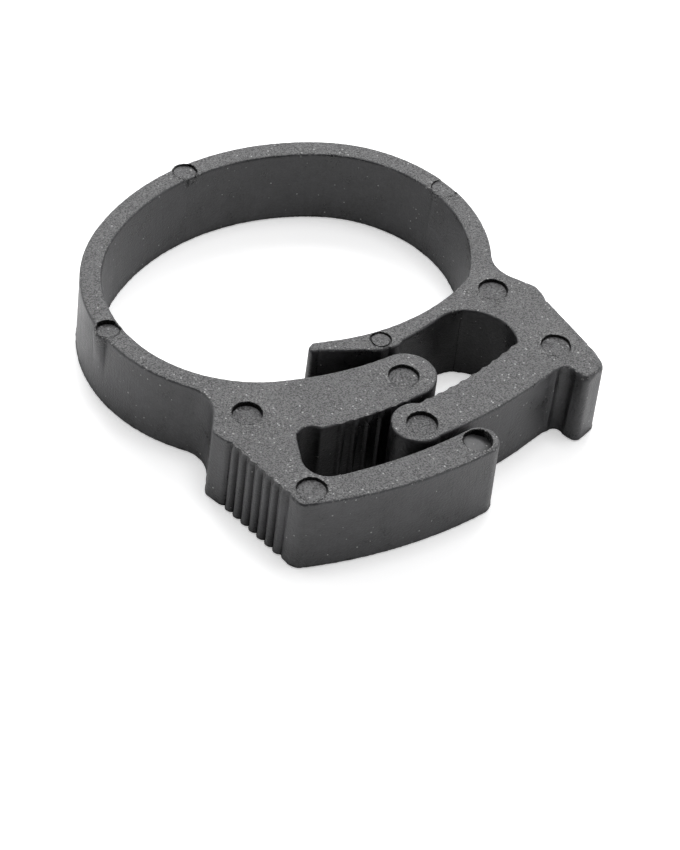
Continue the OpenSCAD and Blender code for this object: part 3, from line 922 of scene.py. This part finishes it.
def black_nylon():
    """Black nylon: grained where the face looks up, smoother on the walls, with dust and scuffed rims, painted shade
    in crevices, corners and mark rims, and painted glints on the grain.
    """
    name = "Black nylon"
    if name in bpy.data.materials:
        return bpy.data.materials[name]
    look = bpy.context.scene.clip_finish
    mat = bpy.data.materials.new(name)
    mat.use_nodes = True
    tree = mat.node_tree
    tree.nodes.clear()
    shader = tree.nodes.new("ShaderNodeBsdfPrincipled")
    out = tree.nodes.new("ShaderNodeOutputMaterial")
    tree.links.new(shader.outputs["BSDF"], out.inputs["Surface"])
    place = tree.nodes.new("ShaderNodeTexCoord").outputs["Object"]
    facing = tree.nodes.new("ShaderNodeSeparateXYZ")
    tree.links.new(tree.nodes.new("ShaderNodeNewGeometry").outputs["Normal"], facing.inputs[0])
    up = ramp(tree, facing.outputs["Z"], 0.80, 0.97, smooth=True)
    plain = point_value(tree, "plain_floor")
    scuff = point_value(tree, "scuff")
    grained = math_node(tree, "MULTIPLY", up, math_node(tree, "SUBTRACT", 1.0, plain))

    grain = place_group(tree, spark_grain(), place, Scale=1.0 / look.grain_size)
    flow = place_group(tree, wall_flow(), place, Scale=2200.0)
    dust = place_group(tree, dust_specks(), place, Scale=1300.0, Amount=0.10)
    lint = place_group(tree, dust_specks(), place, Scale=1900.0, Amount=0.75)
    on_walls = ramp(tree, grained, 0.0, 1.0, 0.85, 0.2)
    specks = math_node(tree, "MAXIMUM", dust.outputs["Mask"],
                       math_node(tree, "MULTIPLY", lint.outputs["Mask"], on_walls))

    wall_dark = tuple(0.5 * c for c in look.nylon_wall)
    wall_pale = tuple(1.9 * c for c in look.nylon_wall)
    top_shaded = tuple(0.28 * c for c in look.nylon_top)
    walls = mix_colour(tree, ramp(tree, flow.outputs["Tone"], 0.36, 0.64), wall_dark, wall_pale)
    top_lit = tuple(1.8 * c for c in look.nylon_top)
    # painted shade and light on the grain: its hollows are darker and its crests paler than the top colour
    tops = mix_colour(tree, grain.outputs["Hollows"], top_lit, top_shaded)
    # painted glints: a few facets of the grain are mixed toward grey, as if they caught the light
    tops = mix_colour(tree, math_node(tree, "MULTIPLY", grain.outputs["Facets"], 0.8), tops, (0.50, 0.50, 0.50))
    # faces that look up take the paler top colour: grained finish and painted sheen
    colour = mix_colour(tree, grained, walls, tops)
    flakes = ramp(tree, noise(tree, place, 9000.0, 2.0, 0.6), 0.52, 0.62)
    torn = math_node(tree, "MULTIPLY", scuff, flakes)
    colour = mix_colour(tree, math_node(tree, "MULTIPLY", torn, 0.9), colour, (0.55, 0.55, 0.54))
    colour = mix_colour(tree, math_node(tree, "MULTIPLY", specks, 0.85), colour, tuple(look.dust))
    # painted shade: slots, rib valleys and the corners of the walls, but not of the tops, are darkened toward near
    # black in the colour and also in the specular level
    shade = ramp(tree, openness(tree, look.crevice_reach, False), 0.10, 0.45, look.crevice_shade, 1.0)
    open_corner = math_node(tree, "MAXIMUM", openness(tree, look.corner_reach, True), grained)
    shade = math_node(tree, "MULTIPLY", shade, ramp(tree, open_corner, 0.78, 0.98, look.corner_shade, 1.0))
    # painted shade inside the rims of the marks
    groove = point_value(tree, "groove")
    shade = math_node(tree, "MULTIPLY", shade, ramp(tree, groove, 0.0, 1.0, 1.0, 0.2))
    colour = mix_colour(tree, shade, (0.004, 0.004, 0.004), colour)
    tree.links.new(colour, shader.inputs["Base Color"])
    sheen = ramp(tree, grained, 0.0, 1.0, 0.6, 0.5)
    tree.links.new(math_node(tree, "MULTIPLY", shade, sheen), shader.inputs["Specular IOR Level"])

    rough = ramp(tree, grained, 0.0, 1.0, 0.35, 0.38)
    rough = math_node(tree, "ADD", rough, ramp(tree, flow.outputs["Tone"], 0.38, 0.62, -0.09, 0.11))
    rough = math_node(tree, "ADD", rough, math_node(tree, "MULTIPLY", plain, 0.2))
    tree.links.new(rough, shader.inputs["Roughness"])
    shader.inputs["IOR"].default_value = 1.53

    height = math_node(tree, "ADD", math_node(tree, "MULTIPLY", grain.outputs["Height"], grained),
                       math_node(tree, "MULTIPLY", math_node(tree, "MULTIPLY", flow.outputs["Height"], 0.34),
                                 math_node(tree, "SUBTRACT", 1.0, grained)))
    height = math_node(tree, "ADD", height, math_node(tree, "MULTIPLY", torn, 0.8))
    bump = tree.nodes.new("ShaderNodeBump")
    bump.inputs["Strength"].default_value = 0.75
    bump.inputs["Distance"].default_value = 0.0002
    tree.links.new(height, bump.inputs["Height"])
    tree.links.new(bump.outputs["Normal"], shader.inputs["Normal"])
    return mat


# ---------------------------------------------------------------- rows of ridges

def ridge_tree():
    """Geometry nodes that repeat one ridge in a row, each copy stepped on and turned about a centre."""
    name = "Ridge row"
    if name in bpy.data.node_groups:
        return bpy.data.node_groups[name]
    tree = bpy.data.node_groups.new(name, "GeometryNodeTree")
    face = tree.interface
    face.new_socket(name="Geometry", in_out="INPUT", socket_type="NodeSocketGeometry")
    for label, kind in (("Count", "NodeSocketInt"), ("Step", "NodeSocketVector"), ("Centre", "NodeSocketVector"),
                        ("Turn", "NodeSocketFloat"), ("Material", "NodeSocketMaterial")):
        face.new_socket(name=label, in_out="INPUT", socket_type=kind)
    face.new_socket(name="Geometry", in_out="OUTPUT", socket_type="NodeSocketGeometry")
    new, link = tree.nodes.new, tree.links.new
    gin, gout = new("NodeGroupInput"), new("NodeGroupOutput")
    line = new("GeometryNodeMeshLine")
    link(gin.outputs["Count"], line.inputs["Count"])
    link(gin.outputs["Centre"], line.inputs["Start Location"])
    link(gin.outputs["Step"], line.inputs["Offset"])
    back = new("ShaderNodeVectorMath")
    back.operation = "SCALE"
    link(gin.outputs["Centre"], back.inputs[0])
    back.inputs["Scale"].default_value = -1.0
    shift = new("GeometryNodeTransform")
    link(gin.outputs["Geometry"], shift.inputs["Geometry"])
    link(back.outputs[0], shift.inputs["Translation"])
    turn = new("ShaderNodeMath")
    turn.operation = "MULTIPLY"
    link(new("GeometryNodeInputIndex").outputs[0], turn.inputs[0])
    link(gin.outputs["Turn"], turn.inputs[1])
    about = new("ShaderNodeCombineXYZ")
    link(turn.outputs[0], about.inputs["Z"])
    copies = new("GeometryNodeInstanceOnPoints")
    link(line.outputs["Mesh"], copies.inputs["Points"])
    link(shift.outputs["Geometry"], copies.inputs["Instance"])
    link(about.outputs[0], copies.inputs["Rotation"])
    real = new("GeometryNodeRealizeInstances")
    link(copies.outputs["Instances"], real.inputs["Geometry"])
    paint = new("GeometryNodeSetMaterial")
    link(real.outputs["Geometry"], paint.inputs["Geometry"])
    link(gin.outputs["Material"], paint.inputs["Material"])
    link(paint.outputs["Geometry"], gout.inputs["Geometry"])
    return tree


def repeat(ridge, count, step=(0, 0, 0), centre=(0, 0, 0), turn=0.0):
    """Bakes a row of the ridge into the ridge's own mesh."""
    tree = ridge_tree()
    mod = ridge.modifiers.new("Row", "NODES")
    mod.node_group = tree
    ids = {s.name: s.identifier for s in tree.interface.items_tree if s.in_out == "INPUT"}
    mod[ids["Count"]] = count
    mod[ids["Step"]] = [c * MM for c in step]
    mod[ids["Centre"]] = [c * MM for c in centre]
    mod[ids["Turn"]] = math.radians(turn)
    mod[ids["Material"]] = black_nylon()
    graph = bpy.context.evaluated_depsgraph_get()
    mesh = bpy.data.meshes.new_from_object(ridge.evaluated_get(graph), depsgraph=graph)
    ridge.modifiers.remove(mod)
    old = ridge.data
    ridge.data = mesh
    mesh.name = ridge.name
    bpy.data.meshes.remove(old)
    if len(mesh.polygons) < count * 20:
        raise RuntimeError(f"{ridge.name}: the row of ridges is empty")
    return ridge


# ---------------------------------------------------------------- operators

def put(obj, a, b=None, start=None, end=None, stands_for=()):
    """Gives a piece its finish and its body; a piece between two bodies has its place baked into its mesh and gets no
    body.
    """
    if not obj.data.materials:
        obj.data.materials.append(black_nylon())
    if b is None:
        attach(obj, a)
    else:
        [c * MM for c in (*start, 0)]
        [c * MM for c in (*end, 0)]
        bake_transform(obj)
    if stands_for:
        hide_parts(*stands_for)
    return obj


class CLIP_OT_hoop(bpy.types.Operator):
    """Build the back of the hoop and its two shoulders"""

    bl_idname = "clip.hoop"
    bl_label = "Hoop"

    def execute(self, context):
        f = Form(context.scene.clip_sizes)
        cuts = [(f.CB, at(f.CB, 1, f.seam_back)), (f.CB, at(f.CB, 1, 180 - f.seam_back))]
        back = draw_up("hoop_back_band", back_loop(f), cuts,
                       [Mark(f.band_mark, 0.84 * f.mark_radius, 0.14, tilt=20)], f, seed=3)
        put(back, "hoop_back", "hoop_back_right", (-4.4, 10.7), (5.6, 10.7), ("band_back_left", "band_back_right"))
        for side, name in ((-1, "left"), (1, "right")):
            turn = (lambda p: p) if side < 0 else flip
            cuts = [(turn(f.CB), turn(at(f.CB, 1, f.seam_back))), (turn(f.SL), turn(at(f.SL, 1, f.seam_side)))]
            way = at((0, 0), 1, f.a1 + 90)
            start, end = turn(f.H1 - 2.4 * way), turn(f.H1 + 2.4 * way)
            piece = draw_up(f"{name}_shoulder", band_loop(f, side), cuts, [], f, seed=5 + side)
            put(piece, "hoop_back" if side < 0 else "hoop_back_right", f"{name}_side", start, end,
                (f"{name}_side_band",))
        return {"FINISHED"}


class CLIP_OT_left_jaw(bpy.types.Operator):
    """Build the left jaw: side, head, ratchet tongue and outer arm"""

    bl_idname = "clip.left_jaw"
    bl_label = "Left jaw"

    def execute(self, context):
        f = Form(context.scene.clip_sizes)
        r, band = f.mark_radius, f.side_radius + f.wall
        marks = [Mark(f.boss, 0.83 * r, 0.3, tilt=80), Mark(f.KL + [2.38, -0.58], 0.98 * r, 0.28),
                 Mark(f.KL + [2.0, -7.7], 0.97 * r, 0.17), Mark(f.TIP + [-0.25, -0.02], r, 0.2),
                 Mark(at(f.P, f.outer_in + 1.05, -90 + 0.75), 0.97 * r, 0.4, "torn", tilt=15)]
        cuts = [(f.SL, at(f.SL, 1, f.seam_side))]
        rounds = ((f.QL, 0.4), (f.KL + [0.68, -8.05], 0.45, 0.2), (f.KL + [1.05, -8.55], 0.4, 0.2))

        def flat(q):
            """The boss beside the band, pressed flat onto it."""
            d = math.dist(q, f.SL)
            near = d > band + 0.01 and math.dist(q, f.boss) < f.boss_r + 0.05
            return f.SL + (q - f.SL) * band / d if near else q

        def low_down(z):
            t = min(1, max(0, (z / f.height - 0.35) / 0.6))
            return 1 - t * t * (3 - 2 * t)

        jaw = draw_up("left_jaw_body", left_loop(f), cuts, marks, f, snug=f.snug, rounds=rounds,
                      morph=(flat, low_down), seed=11)
        put(jaw, "left_side", "left_jaw", (f.H2[0], f.H2[1] + 3.6), (f.H2[0], f.H2[1] - 3.6),
            ("left_front_band", "left_head", "ratchet_tongue", "outer_arm"))
        return {"FINISHED"}


class CLIP_OT_right_jaw(bpy.types.Operator):
    """Build the right jaw: side, head, grip and stop lip"""

    bl_idname = "clip.right_jaw"
    bl_label = "Right jaw"

    def execute(self, context):
        f = Form(context.scene.clip_sizes)
        r = f.mark_radius
        marks = [Mark(flip(f.boss), 0.9 * r, 0.05), Mark(f.KR + [-2.65, 0.4], 0.98 * r, 0.2),
                 Mark(f.KR + [-2.5, -5.7], 0.98 * r, 0.15)]
        rounds = ((f.QR, 0.8), (f.KR + [-0.2, -1.5], 0.8), (f.LIP[0], 0.6, 0.25), (f.LIP[1], 0.6, 0.36),
                  (f.LIP[2], 0.35, 0.4))
        cuts = [(f.SR, at(f.SR, 1, 180 - f.seam_side)), ((f.arm_seam, -20), (f.arm_seam, -10)),
                ((f.finger_seam, -20), (f.finger_seam, -5))]
        jaw = draw_up("right_jaw_body", right_loop(f), cuts, marks, f, snug=f.snug, rounds=rounds, seed=13)
        top = flip(f.H2)
        put(jaw, "right_side", "right_jaw", (top[0], top[1] + 3.6), (top[0], top[1] - 3.6),
            ("right_front_band", "right_head", "stop_lip"))
        return {"FINISHED"}


class CLIP_OT_toothed_arm(bpy.types.Operator):
    """Build the toothed arm of the right jaw"""

    bl_idname = "clip.toothed_arm"
    bl_label = "Toothed arm"

    def execute(self, context):
        f = Form(context.scene.clip_sizes)
        cuts = [((f.arm_seam, -20), (f.arm_seam, -10))]
        arm = draw_up("toothed_arm_body", arm_loop(f), cuts, [Mark(f.NOSE + [0.12, -0.2], f.mark_radius, 0.25)], f,
                      snug=f.snug, seed=17)
        put(arm, "right_jaw", "pawl", (f.FP[0] + 1.1, f.FP[1]), (f.FP[0] - 1.1, f.FP[1]), ("toothed_arm",))
        return {"FINISHED"}


class CLIP_OT_inner_finger(bpy.types.Operator):
    """Build the inner finger that bridges the gap in the bore"""

    bl_idname = "clip.inner_finger"
    bl_label = "Inner finger"

    def execute(self, context):
        f = Form(context.scene.clip_sizes)
        cuts = [((f.finger_seam, -20), (f.finger_seam, -5))]
        marks = [Mark((0.77, 0.39 - f.side_radius), f.small_mark_radius, 0.12, "ring")]
        rounds = ((f.TOE[1], 0.35, 0.2), (f.TOE[2], 0.5, 0.2), (f.TOE[3], 0.6, 0.2))
        finger = draw_up("inner_finger_body", finger_loop(f), cuts, marks, f, snug=f.snug, rounds=rounds, seed=19)
        put(finger, "right_jaw", "finger", (f.FF[0] + 1.3, f.FF[1]), (f.FF[0] - 0.9, f.FF[1]), ("inner_finger",))
        return {"FINISHED"}


class CLIP_OT_ridges(bpy.types.Operator):
    """Build the ribs of both grips and the teeth of the tongue and the toothed arm"""

    bl_idname = "clip.ridges"
    bl_label = "Ribs and teeth"

    def execute(self, context):
        f = Form(context.scene.clip_sizes)
        low, high = 0.012, f.height - 0.012

        def fade(z):
            """0 on the wall, growing to 1 at the top edge, where the ridges run out."""
            t = min(1, max(0, (z - f.height + 0.42) / 0.36))
            return t * t * (3 - 2 * t)

        def rib(point, crest, deep):
            """One wave between two hollows, on a base sunk into the grip."""
            loop = [point(crest + f.rib_pitch * u, deep * (1 - math.cos(2 * math.pi * u)) / 2)
                    for u in (k / 20 - 0.5 for k in range(21))]
            loop += [point(crest + f.rib_pitch / 2, deep + 0.3), point(crest - f.rib_pitch / 2, deep + 0.3)]
            return loop if area(loop) > 0 else loop[::-1]

        edge = f.pad_top - 0.12
        count = sum(1 for i in range(f.rib_count) if edge - (i + 1) * f.rib_pitch > f.lip_y) - 1
        for name, point, under, side, first, count, deep, fades, body, node in (
                ("left_grip_ribs", f.padl, f.under_l, 1, f.pad_top, f.rib_count - 1, f.rib_depth, 0.6, "left_jaw",
                 "left_grip"),
                ("right_grip_ribs", f.padr, f.under_r, -1, edge, count, 0.55 * f.rib_depth, 1.0, "right_jaw",
                 "right_grip")):

            def sunk(q):
                return q + [side * max(0.0, deep - under(q)), 0]

            one = draw_up(name, rib(point, first - f.rib_pitch, deep), [], [], f, top=high, bottom=low, convex=0.04,
                          concave=0.05, radius=0.05, morph=(sunk, lambda z: fades * fade(z)), seed=23)
            repeat(one, count, step=(*(point(-f.rib_pitch, 0) - point(0, 0)), 0))
            put(one, body, stands_for=(node,))

        def teeth(name, a, base, peak, lean, count):
            """A row of teeth about the jaw centre, from angle a on, steeper at one end."""
            deep = base + (base - peak) * 0.9
            wave = [(u, (1 - math.cos(2 * math.pi * u ** 1.8)) / 2) for u in (k / 16 for k in range(17))]
            side = [(u if lean > 0 else 1 - u, base + (peak - base) * w) for u, w in wave]
            loop = [at(f.P, r, -90 + a + f.tooth_pitch * u)
                    for u, r in ((side[0][0], deep), *side, (side[-1][0], deep))]
            loop = loop if area(loop) > 0 else loop[::-1]

            def sunk(q):
                r = math.dist(q, f.P)
                return q if (r - base) * (peak - base) <= 0 else f.P + (q - f.P) * base / r

            one = draw_up(name, loop, [], [], f, top=high, bottom=low, convex=0.04, concave=0.05, radius=0.04,
                          snug=lambda q: 0.0, morph=(sunk, lambda z: 0.6 * fade(z)), swell=0.0, seed=29)
            return repeat(one, count, centre=(*f.P, 0), turn=f.tooth_pitch)

        hump = f.hump_a + math.degrees(math.asin((f.hump_r + 0.2) / f.crest))
        count = int(math.floor((-hump - 0.9) / f.tooth_pitch))
        put(teeth("tongue_teeth", -0.9 - count * f.tooth_pitch, f.root, f.root + f.tooth_depth, -1, count), "left_jaw")
        row = teeth("arm_teeth", -1.14, f.arm_root, f.arm_root - f.tooth_depth, 1, 9)
        put(row, "right_jaw", "pawl", (f.FP[0] + 1.1, f.FP[1]), (f.FP[0] - 1.1, f.FP[1]))
        return {"FINISHED"}


def area_lamp(name, place, size, power):
    lamp = bpy.data.lights.new(name, "AREA")
    lamp.shape, lamp.size, lamp.energy = "SQUARE", size, power
    obj = bpy.data.objects.new(name, lamp)
    obj.location = place
    obj.rotation_euler = (-Vector(place)).to_track_quat("-Z", "Y").to_euler()
    bpy.context.scene.collection.objects.link(obj)
    return obj


def sight_rays(tree):
    """1 for rays that show the floor directly, and 1 for those that show it in a mirror or through glass."""
    path = tree.nodes.new("ShaderNodeLightPath")
    return path.outputs["Is Camera Ray"], math_node(tree, "MAXIMUM", path.outputs["Is Glossy Ray"],
                                                    path.outputs["Is Transmission Ray"])


class CLIP_OT_stage(bpy.types.Operator):
    """Lay the pale floor, hang the soft lamps and set the camera"""

    bl_idname = "clip.stage"
    bl_label = "Stage"

    def execute(self, context):
        scene = context.scene
        look = scene.clip_finish
        scene.view_settings.view_transform = "Standard"

        mat = bpy.data.materials.new("Pale floor")
        mat.use_nodes = True
        tree = mat.node_tree
        tree.nodes.clear()
        place = tree.nodes.new("ShaderNodeTexCoord").outputs["Object"]
        diffuse = tree.nodes.new("ShaderNodeBsdfDiffuse")
        cloud = ramp(tree, noise(tree, place, 40.0, 2.0), 0.3, 0.7)
        tree.links.new(mix_colour(tree, cloud, tuple(0.99 * c for c in look.floor), tuple(look.floor)),
                       diffuse.inputs["Color"])
        glow = tree.nodes.new("ShaderNodeEmission")
        camera, mirror = sight_rays(tree)
        tree.links.new(math_node(tree, "ADD", math_node(tree, "MULTIPLY", camera, 0.45),
                                 math_node(tree, "MULTIPLY", mirror, 0.06)), glow.inputs["Strength"])
        both = tree.nodes.new("ShaderNodeAddShader")
        tree.links.new(diffuse.outputs[0], both.inputs[0])
        tree.links.new(glow.outputs[0], both.inputs[1])
        tree.links.new(both.outputs[0], tree.nodes.new("ShaderNodeOutputMaterial").inputs["Surface"])
        half, drop = 1.5, -0.00002
        mesh = bpy.data.meshes.new("floor")
        mesh.from_pydata([(-half, -half, drop), (half, -half, drop), (half, half, drop), (-half, half, drop)], [],
                         [(0, 1, 2, 3)])
        mesh.materials.append(mat)
        floor = bpy.data.objects.new("floor", mesh)
        scene.collection.objects.link(floor)

        world = bpy.data.worlds.new("Soft white room")
        world.use_nodes = True
        tree = world.node_tree
        tree.nodes.clear()
        sky = tree.nodes.new("ShaderNodeBackground")
        path = tree.nodes.new("ShaderNodeLightPath")
        front = tree.nodes.new("ShaderNodeVectorMath")
        front.operation = "DOT_PRODUCT"
        tree.links.new(tree.nodes.new("ShaderNodeTexCoord").outputs["Generated"], front.inputs[0])
        front.inputs[1].default_value = (-0.47, -0.53, 0.70)
        room_light = ramp(tree, front.outputs["Value"], 0.25, 0.80, 0.95, 0.06)
        seen = math_node(tree, "MULTIPLY", path.outputs["Is Camera Ray"],
                         math_node(tree, "SUBTRACT", 1.0, room_light))
        tree.links.new(math_node(tree, "ADD", room_light, seen), sky.inputs["Strength"])
        sky.inputs["Color"].default_value = (1.0, 1.0, 1.0, 1.0)
        tree.links.new(sky.outputs[0], tree.nodes.new("ShaderNodeOutputWorld").inputs["Surface"])
        scene.world = world
        area_lamp("back_softbox", (0.20, 0.28, 0.34), 0.32, 1.75)
        area_lamp("top_softbox", (0.05, 0.0, 0.50), 0.20, 0.95)

        right = Vector((0.80128624, -0.59164992, 0.08882981))
        down = Vector((-0.36904654, -0.60565318, -0.70497438))
        ahead = Vector((0.47089809, 0.53210393, -0.70364792))
        cam = bpy.data.cameras.new("camera")
        cam.sensor_width = 36.0
        cam.lens = 115.0658
        cam.clip_start, cam.clip_end = 0.01, 10.0
        obj = bpy.data.objects.new("camera", cam)
        turn = Matrix((right, -down, -ahead)).transposed().to_4x4()
        obj.matrix_world = Matrix.Translation(Vector((-82.35744, -99.90757, 119.71692)) * MM) @ turn
        scene.collection.objects.link(obj)
        scene.camera = obj
        return {"FINISHED"}


class CLIP_PT_sidebar(bpy.types.Panel):
    """Hose clip tools in the 3D view's sidebar"""

    bl_idname = "CLIP_PT_sidebar"
    bl_label = "Hose clip"
    bl_space_type = "VIEW_3D"
    bl_region_type = "UI"
    bl_category = "Hose clip"

    def draw(self, context):
        for group in (context.scene.clip_sizes, context.scene.clip_finish):
            column = self.layout.column(align=True)
            for key in group.__annotations__:
                column.prop(group, key)
        column = self.layout.column(align=True)
        for op in OPERATORS:
            column.operator(op.bl_idname)


OPERATORS = (CLIP_OT_hoop, CLIP_OT_left_jaw, CLIP_OT_right_jaw, CLIP_OT_toothed_arm, CLIP_OT_inner_finger,
             CLIP_OT_ridges, CLIP_OT_stage)
CLASSES = (ClipSizes, ClipFinish, *OPERATORS, CLIP_PT_sidebar)


def register():
    for cls in CLASSES:
        bpy.utils.register_class(cls)
    bpy.types.Scene.clip_sizes = PointerProperty(type=ClipSizes)
    bpy.types.Scene.clip_finish = PointerProperty(type=ClipFinish)


def unregister():
    del bpy.types.Scene.clip_finish
    del bpy.types.Scene.clip_sizes
    for cls in reversed(CLASSES):
        bpy.utils.unregister_class(cls)


def main():
    register()
    bpy.ops.clip.hoop()
    bpy.ops.clip.left_jaw()
    bpy.ops.clip.right_jaw()
    bpy.ops.clip.toothed_arm()
    bpy.ops.clip.inner_finger()
    bpy.ops.clip.ridges()
    bpy.ops.clip.stage()


if __name__ == "__main__":
    main()
